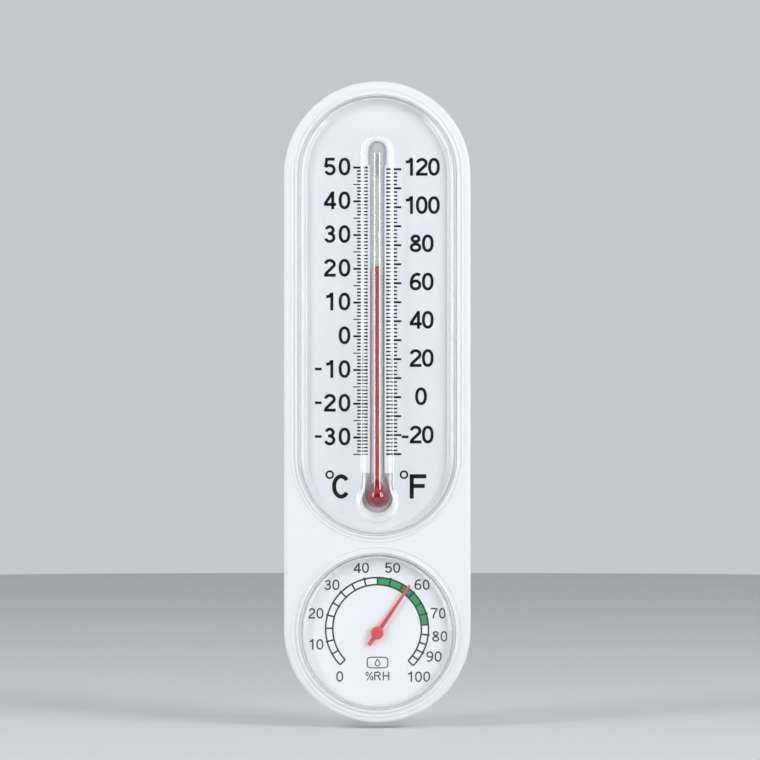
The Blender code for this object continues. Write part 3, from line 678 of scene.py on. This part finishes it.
def turned(name, profile, steps=48):
    """A solid of revolution about the tube's axis, from (radius, height)."""
    bm = bmesh.new()
    rings = []
    for radius, height in profile:
        if radius < MERGE:
            rings.append([bm.verts.new(place(0, TUBE_DEPTH, height))])
            continue
        ring = []
        for step in range(steps):
            angle = 2 * math.pi * step / steps
            point = place(radius * math.cos(angle), TUBE_DEPTH + radius * math.sin(angle), height)
            ring.append(bm.verts.new(point))
        rings.append(ring)
    for low, high in zip(rings, rings[1:]):
        for index in range(steps):
            corners = [low[index % len(low)], low[(index + 1) % len(low)],
                       high[(index + 1) % len(high)], high[index % len(high)]]
            corners = list(dict.fromkeys(corners))
            if len(corners) > 2:
                bm.faces.new(corners)
    bmesh.ops.recalc_face_normals(bm, faces=bm.faces)
    mesh = mesh_from(bm, name)
    smooth(mesh)
    return mesh


def neck_points(bulb_r, stem_r, steps=10):
    """The smooth curve from the bulb's shoulder into a straight stem."""
    angle = math.radians(NECK_ANGLE)
    shoulder = Vector((bulb_r * math.cos(angle), BULB_Z + bulb_r * math.sin(angle)))
    top = Vector((stem_r, shoulder.y + NECK_RISE + MM))
    tangent = Vector((-math.sin(angle), math.cos(angle)))
    reach = (shoulder.x - stem_r) / max(-tangent.x, 0.1)
    bend = shoulder + tangent * min(reach, NECK_RISE)
    points = []
    for step in range(1, steps + 1):
        share = step / steps
        points.append(tuple(shoulder * (1 - share) ** 2 + bend * 2 * share * (1 - share) + top * share ** 2))
    return points


def glass(material):
    profile = arc((0, BULB_Z), BULB_R, -90, NECK_ANGLE, 22)
    profile[0] = (0, BULB_Z - BULB_R)
    profile += neck_points(BULB_R, TUBE_R)
    tip = TUBE_R * CROWN_SHARE
    crown = arc((TUBE_R - tip, TUBE_TOP_Z - tip), tip, 0, 90, 8)
    profile += crown + [(0, TUBE_TOP_Z)]
    tube = link_piece("glass_stem_and_bulb", turned("glass_stem_and_bulb", profile), material)
    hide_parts("glass_tube")


def spirit(material, deep):
    """Spirit in the bulb, the thread in the bore and the thread's top end."""
    low = THREAD_LOW.z - MIDDLE_Z
    high = THREAD_HIGH.z - MIDDLE_Z
    fill_r = BULB_R * BULB_FILL_SHARE
    profile = arc((0, BULB_Z), fill_r, -90, NECK_ANGLE, 20)
    profile[0] = (0, BULB_Z - fill_r)
    profile += neck_points(fill_r, THREAD_R) + [(THREAD_R, low), (0, low)]
    bulb = link_piece("bulb_spirit", turned("bulb_spirit", profile), deep)
    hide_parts("spirit_bulb_fill")
    column = [(0, low)]
    column += [(THREAD_R, low + (high - low) * row / THREAD_ROWS) for row in range(THREAD_ROWS + 1)]
    column.append((0, high))
    thread = link_piece("thread_spirit", turned("thread_spirit", column, THREAD_SIDES), material, None)
    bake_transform(thread)
    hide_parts("spirit_thread")
    top = MENISCUS_HIGH.z - MIDDLE_Z
    cup = [(0, MENISCUS_LOW.z - MIDDLE_Z), (THREAD_R, MENISCUS_LOW.z - MIDDLE_Z)]
    cup += [(THREAD_R, top), (CUP_SHARE * THREAD_R, top - CUP_SHOULDER_DROP), (0, top - CUP_DROP)]
    end = link_piece("thread_top", turned("thread_top", cup, THREAD_SIDES), material, "spirit_top")
    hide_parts("spirit_meniscus")


def backing_strip(material):
    """The pale enamel line drawn into the glass behind the bore."""
    depth = TUBE_DEPTH - STRIP_BEHIND
    low = BULB_Z + BULB_R + NECK_RISE
    outline = soften([(-STRIP_HALF, low), (STRIP_HALF, low), (STRIP_HALF, STRIP_TOP_Z),
                      (-STRIP_HALF, STRIP_TOP_Z)], STRIP_CORNER)
    strip = rings_solid("tube_backing", [(outline, depth), (outline, depth + STRIP_THICK)])
    link_piece("tube_backing", strip, material)


# ----------------------------------------------------------------- printing

def ribbon(bm, points, width, top=INK):
    """A flat printed line of even width, standing proud of the plate."""
    flat = [Vector(point) for point in points]
    sides = []
    for index, point in enumerate(flat):
        before = flat[max(index - 1, 0)]
        after = flat[min(index + 1, len(flat) - 1)]
        along = (after - before).normalized()
        across = Vector((-along.y, along.x))
        spread = 1.0
        if 0 < index < len(flat) - 1:
            turn = (point - before).normalized().dot((after - point).normalized())
            spread = 1 / max(math.sqrt((1 + turn) / 2), 0.6)
        sides.append((point + across * width / 2 * spread, point - across * width / 2 * spread))
    rows = []
    for left, right in sides:
        rows.append([bm.verts.new(place(left.x, PLATE_FRONT + top, left.y)),
                     bm.verts.new(place(right.x, PLATE_FRONT + top, right.y)),
                     bm.verts.new(place(right.x, PLATE_FRONT, right.y)),
                     bm.verts.new(place(left.x, PLATE_FRONT, left.y))])
    for here, there in zip(rows, rows[1:]):
        for index in range(4):
            following = (index + 1) % 4
            bm.faces.new((here[index], here[following], there[following], there[index]))
    bm.faces.new(rows[0])
    bm.faces.new(rows[-1])


def closed_curve(centre, rx, ry, power=2.0, steps=40):
    """An ellipse, squarer for a power above 2, as a closed line."""
    points = []
    for step in range(steps + 1):
        angle = 2 * math.pi * step / steps
        cosine, sine = math.cos(angle), math.sin(angle)
        u = math.copysign(abs(cosine) ** (2 / power), cosine)
        v = math.copysign(abs(sine) ** (2 / power), sine)
        points.append((centre[0] + rx * u, centre[1] + ry * v))
    return points


def turned_over(strokes, width):
    return [[(width - u, 1 - v) for u, v in stroke] for stroke in strokes]


def glyph(character, stroke=STROKE):
    """The strokes of a character in a box of unit height, 0.66 wide."""
    h = stroke / 2
    wide = 0.66
    mid = wide / 2
    low, high = h, 1 - h
    six = [closed_curve((mid, 0.31), mid - h, 0.31 - h, steps=32),
           arc((mid + 0.09, 0.42), mid + 0.09 - h, 180, 62, 14, 0.58 - h)]
    shapes = {
        "0": [closed_curve((mid, 0.5), mid - h, 0.5 - h, power=2.25)],
        "1": [[(0.44, low - h), (0.44, 1.0)],
              [(0.12, 0.775), (0.27, 0.785), (0.36, 0.84), (0.42, 0.97)]],
        "2": [arc((mid, 0.70), mid - h, 172, -28, 18, 0.30 - h)
              + [(0.30, 0.36), (0.13, 0.20), (h, low)], [(0, low), (wide, low)]],
        "3": [arc((mid - 0.01, 0.725), mid - 0.05 - h, 165, -90, 18, 0.275 - h) + [(mid - 0.1, 0.529)],
              arc((mid - 0.01, 0.304), mid - 0.01 - h, 90, -165, 20, 0.304 - h)],
        "4": [[(0.49, 0.0), (0.49, 1.0)], [(0.47, high), (0.05, 0.29)], [(0.0, 0.27), (wide + 0.02, 0.27)]],
        "5": [[(0.60, high), (0.15, high), (0.09, 0.47)],
              [(0.08, 0.475), (0.17, 0.55)] + arc((mid, 0.325), mid - h, 105, -160, 20, 0.325 - h)],
        "6": six,
        "7": [[(0, high), (wide - 0.02, high)],
              [(wide - 0.04, high), (0.42, 0.62), (0.29, 0.32), (0.23, 0.0)]],
        "8": [closed_curve((mid, 0.755), mid - 0.05 - h, 0.245 - h, steps=28),
              closed_curve((mid, 0.27), mid - h, 0.27 - h, steps=32)],
        "9": turned_over(six, wide),
        "-": [[(0.11, 0.40), (0.55, 0.40)]],
        "C": [arc((mid + 0.03, 0.5), mid + 0.045 - h, 38, 322, 34, 0.5 - h)],
        "F": [[(h, 0.0), (h, 1.0)], [(0, high), (0.68, high)], [(0, 0.52), (0.62, 0.52)]],
        "R": [[(h, 0.0), (h, 1.0)], [(h, high), (0.36, high)] + arc((0.36, 0.745), 0.22, 90, -90, 10)
              + [(h, 0.525)], [(0.38, 0.52), (0.62, 0.0)]],
        "H": [[(h, 0.0), (h, 1.0)], [(wide - h, 0.0), (wide - h, 1.0)], [(h, 0.52), (wide - h, 0.52)]],
        "%": [closed_curve((0.13, 0.76), 0.13, 0.19, steps=20),
              closed_curve((0.68, 0.24), 0.13, 0.19, steps=20), [(0.14, 0.0), (0.68, 1.0)]],
    }
    return shapes[character], wide


def write(bm, text, last_x, centre_z, height, pitch, stroke=STROKE, stretch=1.0):
    """Write text whose last character is centred at last_x."""
    for index, character in enumerate(reversed(text)):
        strokes, wide = glyph(character, stroke)
        left = last_x - index * pitch - wide * stretch * height / 2
        for line in strokes:
            points = [(left + u * stretch * height, centre_z + (v - 0.5) * height) for u, v in line]
            ribbon(bm, points, stroke * height)


def print_piece(name, bm, material):
    bmesh.ops.recalc_face_normals(bm, faces=bm.faces)
    return link_piece(name, mesh_from(bm, name), material)


def celsius_side(bm):
    for degree in range(C_LOW, C_HIGH + 1):
        z = ZERO_C_Z + degree * DEGREE_C
        far = -LONG_TICK_X if degree % 5 == 0 else C_FAR_X
        width = LONG_TICK_WIDTH if degree % 10 == 0 else TICK_WIDTH
        width = FINE_TICK_WIDTH if degree % 10 == 5 else width
        ribbon(bm, [(far, z), (C_NEAR_X, z)], width)
        if degree % 10 == 0 and degree >= LOWEST_C_LABEL:
            centre = z + LABEL_LIFT
            write(bm, str(abs(degree)), C_LAST_X, centre, LABEL_HEIGHT, C_PITCH)
            if degree < 0:
                ribbon(bm, [(C_MINUS_X, centre), (C_MINUS_X + MINUS_LENGTH, centre)], MINUS_WIDTH)


def fahrenheit_side(bm):
    for degree in range(F_LOW, F_HIGH + 1, 2):
        z = ZERO_F_Z + degree * DEGREE_F
        far = LONG_TICK_X if degree % 10 == 0 else F_FAR_X
        width = LONG_TICK_WIDTH if degree % 10 == 0 else TICK_WIDTH
        ribbon(bm, [(F_NEAR_X, z), (far, z)], width)
        if degree % 20 == 0 and degree >= LOWEST_F_LABEL:
            centre = z + F_LABEL_LIFT * (F_LIFT_AT_ZERO + F_LIFT_GAIN * degree / F_HIGH)
            text = str(abs(degree))
            last = {1: F_ONE_DIGIT_X, 2: F_LAST_X, 3: F_THREE_LAST_X}[len(text)]
            write(bm, text, last, centre, LABEL_HEIGHT, F_PITCH)
            if degree < 0:
                low = z - F_MINUS_DROP
                ribbon(bm, [(F_MINUS_X, low), (F_MINUS_X + MINUS_LENGTH, low)], MINUS_WIDTH)


def unit_signs(bm):
    """The bold C and F with their degree rings."""
    for letter, ring_x, centre_x in UNIT_SIGNS:
        ring = closed_curve((ring_x, SIGN_RING_Z), SIGN_RING_R, SIGN_RING_R, steps=28)
        ribbon(bm, ring, SIGN_RING_LINE)
        write(bm, letter, centre_x, SIGN_Z, SIGN_HEIGHT, 0)


def scale_printing(material):
    bm = bmesh.new()
    celsius_side(bm)
    fahrenheit_side(bm)
    unit_signs(bm)
    print_piece("scale_print_black", bm, material)


def dial_angle(percent):
    """Even steps up to 60 %, then closing up towards 100 %."""
    if percent <= EVEN_TO:
        return ZERO_ANGLE - EVEN_STEP * percent
    over = percent - EVEN_TO
    return UPPER_ANGLE - UPPER_STEP * over + UPPER_CLOSING * over * over


def on_ring(radius, angle):
    turn = math.radians(angle)
    return (RING_X + radius * math.cos(turn), RING_Z + radius * math.sin(turn))


def ring_arc(radius, start, end, steps=120):
    return arc((RING_X, RING_Z), radius, start, end, steps)


def dial_cells(green, white):
    """The band between the two lines: white cells and the green comfort zone."""
    middle = (RING_OUTER + RING_INNER) / 2
    band = RING_OUTER - RING_INNER
    zone_start, zone_end = dial_angle(GREEN_TO), dial_angle(GREEN_FROM)
    bm = bmesh.new()
    ribbon(bm, ring_arc(middle, zone_start, zone_end, 60), band, UNDER_INK)
    print_piece("dial_print_green", bm, green)
    bm = bmesh.new()
    ribbon(bm, ring_arc(middle, dial_angle(100), zone_start, 40), band, UNDER_INK)
    ribbon(bm, ring_arc(middle, zone_end, dial_angle(0), 90), band, UNDER_INK)
    print_piece("dial_print_white", bm, white)


def emblem(bm):
    """A plain drop in a rounded frame, for humidity."""
    half_width, half_height = EMBLEM_HALF
    frame_line = closed_curve((EMBLEM_X, EMBLEM_Z), half_width, half_height, power=5.0, steps=60)
    ribbon(bm, frame_line, EMBLEM_LINE)
    tip = (EMBLEM_X, EMBLEM_Z + DROP_TIP)
    drop = arc((EMBLEM_X, EMBLEM_Z - DROP_BELOW), DROP_R, 145, 395, 20)
    ribbon(bm, [tip] + drop + [tip], DROP_LINE)


def dial_printing(material):
    bm = bmesh.new()
    for radius in (RING_OUTER, RING_INNER):
        ribbon(bm, ring_arc(radius, dial_angle(100), dial_angle(0)), RING_LINE)
    for percent in range(0, 101, 5):
        angle = dial_angle(percent)
        numbered = percent % 10 == 0 and 0 < percent < 100
        outer = RING_OUTER + (TICK_OVER if numbered else 0)
        ribbon(bm, [on_ring(RING_INNER, angle), on_ring(outer, angle)], RING_LINE)
    for percent in range(0, 101, 10):
        text = str(percent)
        nudge = NUMBER_NUDGE.get(percent, 0)
        x, z = on_ring(NUMBER_R - (ZERO_INWARD if percent == 0 else 0), dial_angle(percent) + nudge)
        last = x + (len(text) - 1) * NUMBER_PITCH / 2
        write(bm, text, last, z, NUMBER_HEIGHT, NUMBER_PITCH, NUMBER_STROKE)
    write(bm, "RH", UNIT_LAST_X, UNIT_Z, UNIT_HEIGHT, UNIT_PITCH, NUMBER_STROKE, UNIT_STRETCH)
    write(bm, "%", UNIT_LAST_X - 2 * UNIT_PITCH, UNIT_Z, UNIT_HEIGHT, 0, PERCENT_STROKE)
    emblem(bm)
    print_piece("dial_print_dark", bm, material)


# --------------------------------------------------------- light and camera

def soft_lamp(name, azimuth, elevation, distance, size, radiance):
    """A flat soft lamp aimed at the case. Azimuth 0 is the reader's side."""
    turn, lift = math.radians(azimuth), math.radians(elevation)
    away = Vector((math.sin(turn) * math.cos(lift), -math.cos(turn) * math.cos(lift), math.sin(lift)))
    lamp = bpy.data.lights.new(name, "AREA")
    lamp.shape = "RECTANGLE"
    lamp.size, lamp.size_y = size
    lamp.energy = radiance * math.pi * size[0] * size[1]
    holder = bpy.data.objects.new(name, lamp)
    holder.location = Vector((0, 0, MIDDLE_Z)) + away * distance
    holder.rotation_euler = away.to_track_quat("Z", "Y").to_euler()
    holder.visible_camera = False
    bpy.context.scene.collection.objects.link(holder)


def studio():
    for lamp in LAMPS:
        soft_lamp(*lamp)
    world = bpy.data.worlds.new("studio")
    world.use_nodes = True
    tree = world.node_tree
    coords = tree.nodes.new("ShaderNodeTexCoord")
    split = tree.nodes.new("ShaderNodeSeparateXYZ")
    tree.links.new(coords.outputs["Generated"], split.inputs[0])
    sky = tree.nodes["Background"]
    sky.inputs["Color"].default_value = (*SKY_COLOUR, 1)
    tree.links.new(ranged(tree, split.outputs["Y"], *SKY_STRENGTH, *SKY_SPAN), sky.inputs["Strength"])
    bpy.context.scene.world = world
    bpy.context.scene.view_settings.view_transform = "Standard"


def floor():
    material, tree, shader = new_material("pale_floor")
    tree.links.new(mixed(tree, noise(tree, 6), (0.74, 0.75, 0.76), (0.78, 0.79, 0.80)),
                   shader.inputs["Base Color"])
    shader.inputs["Roughness"].default_value = 0.8
    bm = bmesh.new()
    bmesh.ops.create_circle(bm, cap_ends=True, segments=96, radius=FLOOR_R)
    bmesh.ops.translate(bm, vec=(0, 0, CASE_LOW.z - FLOOR_DROP), verts=bm.verts)
    mesh = mesh_from(bm, "floor")
    mesh.materials.append(material)
    ground = bpy.data.objects.new("floor", mesh)
    bpy.context.scene.collection.objects.link(ground)


def camera():
    lens = bpy.data.cameras.new("camera")
    lens.lens = CAMERA_LENS
    lens.sensor_width = CAMERA_SENSOR
    viewer = bpy.data.objects.new("camera", lens)
    viewer.location = CAMERA_PLACE
    viewer.rotation_euler = (math.pi / 2, 0, 0)
    bpy.context.scene.collection.objects.link(viewer)
    bpy.context.scene.camera = viewer


def build():
    paint_nodes()
    # The flank look paints white glints on the rise's flanks; the wall look is hazed plastic.
    looks = (cover_plastic(), hazed_plastic("clear_cover_flank_painted_glint", 0.72, 0.9, True),
             hazed_plastic("clear_cover_wall", 0.82, 0.95, False), soft_plastic())
    scale_cover(looks)
    dial_cover(looks)
    glass(tube_glass())
    spirit(spirit_red("red_spirit", (0.66, 0.085, 0.09), (0.54, 0.06, 0.07)),
           spirit_red("red_spirit_deep", (0.38, 0.004, 0.012), (0.24, 0.002, 0.006)))
    backing_strip(ink("enamel_cream", (0.76, 0.76, 0.71), (0.84, 0.84, 0.79)))
    scale_printing(ink("ink_black", (0.004, 0.004, 0.005), (0.008, 0.008, 0.009)))
    dial_cells(ink("ink_green", (0.01, 0.34, 0.11), (0.02, 0.40, 0.14)),
               ink("ink_white", (0.93, 0.94, 0.95), (0.96, 0.96, 0.97)))
    dial_printing(ink("ink_grey", (0.022, 0.025, 0.03), (0.038, 0.042, 0.05)))
    camera()
    floor()
    studio()


build()
